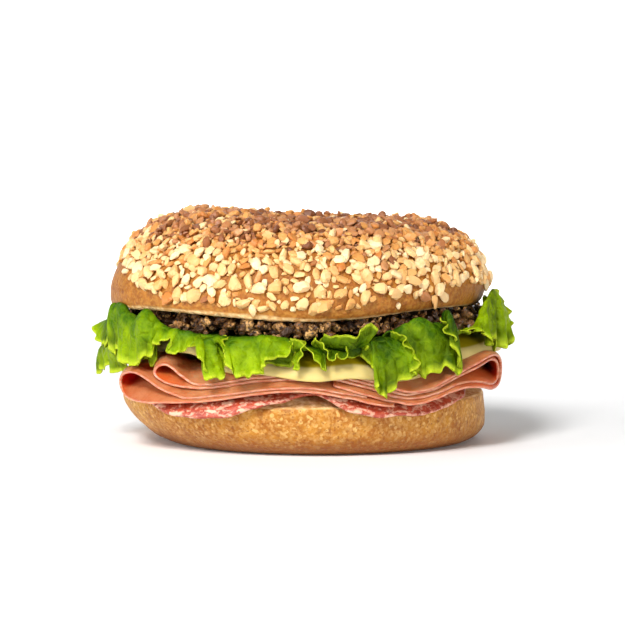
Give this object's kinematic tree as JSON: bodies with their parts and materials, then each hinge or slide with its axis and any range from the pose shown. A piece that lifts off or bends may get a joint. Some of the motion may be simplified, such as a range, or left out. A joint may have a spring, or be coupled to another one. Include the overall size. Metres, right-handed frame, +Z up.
{
  "type": "bagel sandwich",
  "caption": "Wholegrain bagel topped with chopped nuts, cut across and filled with salami, folded ham, cheese, frilly lettuce and a dark crumbly filling.",
  "frame": {"origin": "on the table, under the middle of the whole sandwich's box", "axes": "+Z up; -Y faces the viewer of the picture; +X is the picture's right"},
  "size_m": [0.1306, 0.1272, 0.0695],
  "materials": {
    "crust": "dry baked crust, tan with paler spots",
    "nut_crust": "dry baked crust with toasted chopped nuts",
    "salami": "moist dark red with pale fat flecks",
    "ham": "moist pink-orange",
    "cheese": "soft pale yellow, slightly moist",
    "lettuce": "fresh yellow-green leaf",
    "filling": "dark brown crumbs"
  },
  "bodies": {
    "root": {"bread_bottom": "crust", "salami_1": "salami", "salami_2": "salami", "salami_3": "salami", "salami_4": "salami", "ham_left_low": "ham", "ham_left_high": "ham", "ham_right_low": "ham", "ham_right_high": "ham", "cheese": "cheese", "lettuce_front_low": "lettuce", "lettuce_back_low": "lettuce", "lettuce_left": "lettuce", "lettuce_front_left": "lettuce", "lettuce_front_right": "lettuce", "lettuce_right": "lettuce", "lettuce_back_right": "lettuce", "lettuce_back_left": "lettuce", "crumble": "filling", "bread_top": "nut_crust"}
  },
  "joints": []
}
